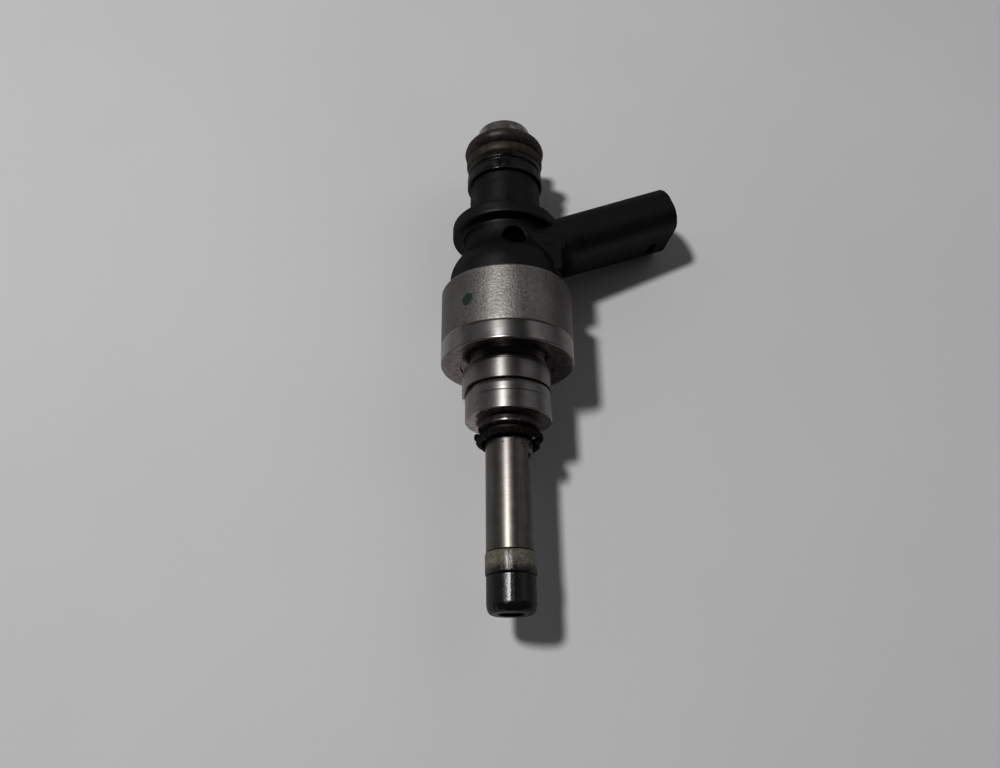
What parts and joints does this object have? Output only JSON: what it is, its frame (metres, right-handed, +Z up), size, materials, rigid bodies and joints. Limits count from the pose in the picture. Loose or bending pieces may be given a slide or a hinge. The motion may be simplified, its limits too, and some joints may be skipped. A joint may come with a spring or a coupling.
{
  "type": "fuel injector",
  "caption": "Direct-injection petrol injector lying on its side: steel case, slim sealed nozzle, black moulded body with angled electrical connector, O-ring inlet.",
  "frame": {"origin": "on the injector's axis, in the seating face under the case flange", "axes": "+Y along the injector's axis towards the fuel inlet, -Y towards the nozzle tip, +Z up from the bench it lies on, connector towards +X"},
  "size_m": [0.0416, 0.0873, 0.022],
  "materials": {
    "body_plastic": "satin black glass-filled moulding",
    "case_steel": "satin bead-blasted nickel-grey steel",
    "turned_steel": "turned steel with fine circumferential lines",
    "nozzle_steel": "satin steel, browned by heat, sooty at the tip",
    "inner_steel": "ground bright steel",
    "spring_steel": "drawn spring wire",
    "crusted_wire": "black oily crust on wire",
    "seal_ptfe": "stained filled PTFE",
    "o_ring_rubber": "oily dark reddish-brown rubber",
    "backup_plastic": "oily tan-brown plastic",
    "spacer_plastic": "oily black plastic",
    "bobbin_plastic": "dark moulded plastic",
    "copper_wire": "enamelled copper winding",
    "terminal_tin": "tin-plated strip",
    "filter_brass": "pressed brass",
    "filter_gauze": "woven steel gauze"
  },
  "bodies": {
    "housing": {"nozzle_body": "nozzle_steel", "combustion_seal": "seal_ptfe", "valve_seat": "nozzle_steel", "needle_guide": "inner_steel", "upper_guide": "inner_steel", "valve_body": "turned_steel", "wire_snap_ring": "crusted_wire", "magnet_case": "case_steel", "cover_plate": "inner_steel", "coil_bobbin": "bobbin_plastic", "coil_winding": "copper_wire", "isolating_ring": "inner_steel", "pole_core": "inner_steel", "calibration_sleeve": "inner_steel", "return_spring": "spring_steel", "armature_spring": "spring_steel", "inlet_tube": "turned_steel", "filter_frame": "filter_brass", "filter_mesh": "filter_gauze", "o_ring": "o_ring_rubber", "backup_ring": "backup_plastic", "spacer_ring": "spacer_plastic", "moulded_body": "body_plastic", "terminal_pins": "terminal_tin"},
    "needle": {"valve_needle": "inner_steel", "valve_ball": "inner_steel", "upper_stop_ring": "inner_steel", "lower_stop_ring": "inner_steel"},
    "armature": {"armature": "inner_steel"},
    "support_ring": {"support_ring": "turned_steel"}
  },
  "joints": [
    {"name": "needle_lift", "type": "slide", "parent": "housing", "child": "needle", "axis": [0, 1, 0], "range_m": [0, 0.00007]},
    {"name": "armature_free_travel", "type": "slide", "parent": "needle", "child": "armature", "axis": [0, 1, 0], "range_m": [0, 0.00004]},
    {"name": "support_ring_turn", "type": "hinge", "parent": "housing", "child": "support_ring", "pos_m": [0, -0.0031, 0], "axis": [0, 1, 0], "continuous": true}
  ]
}
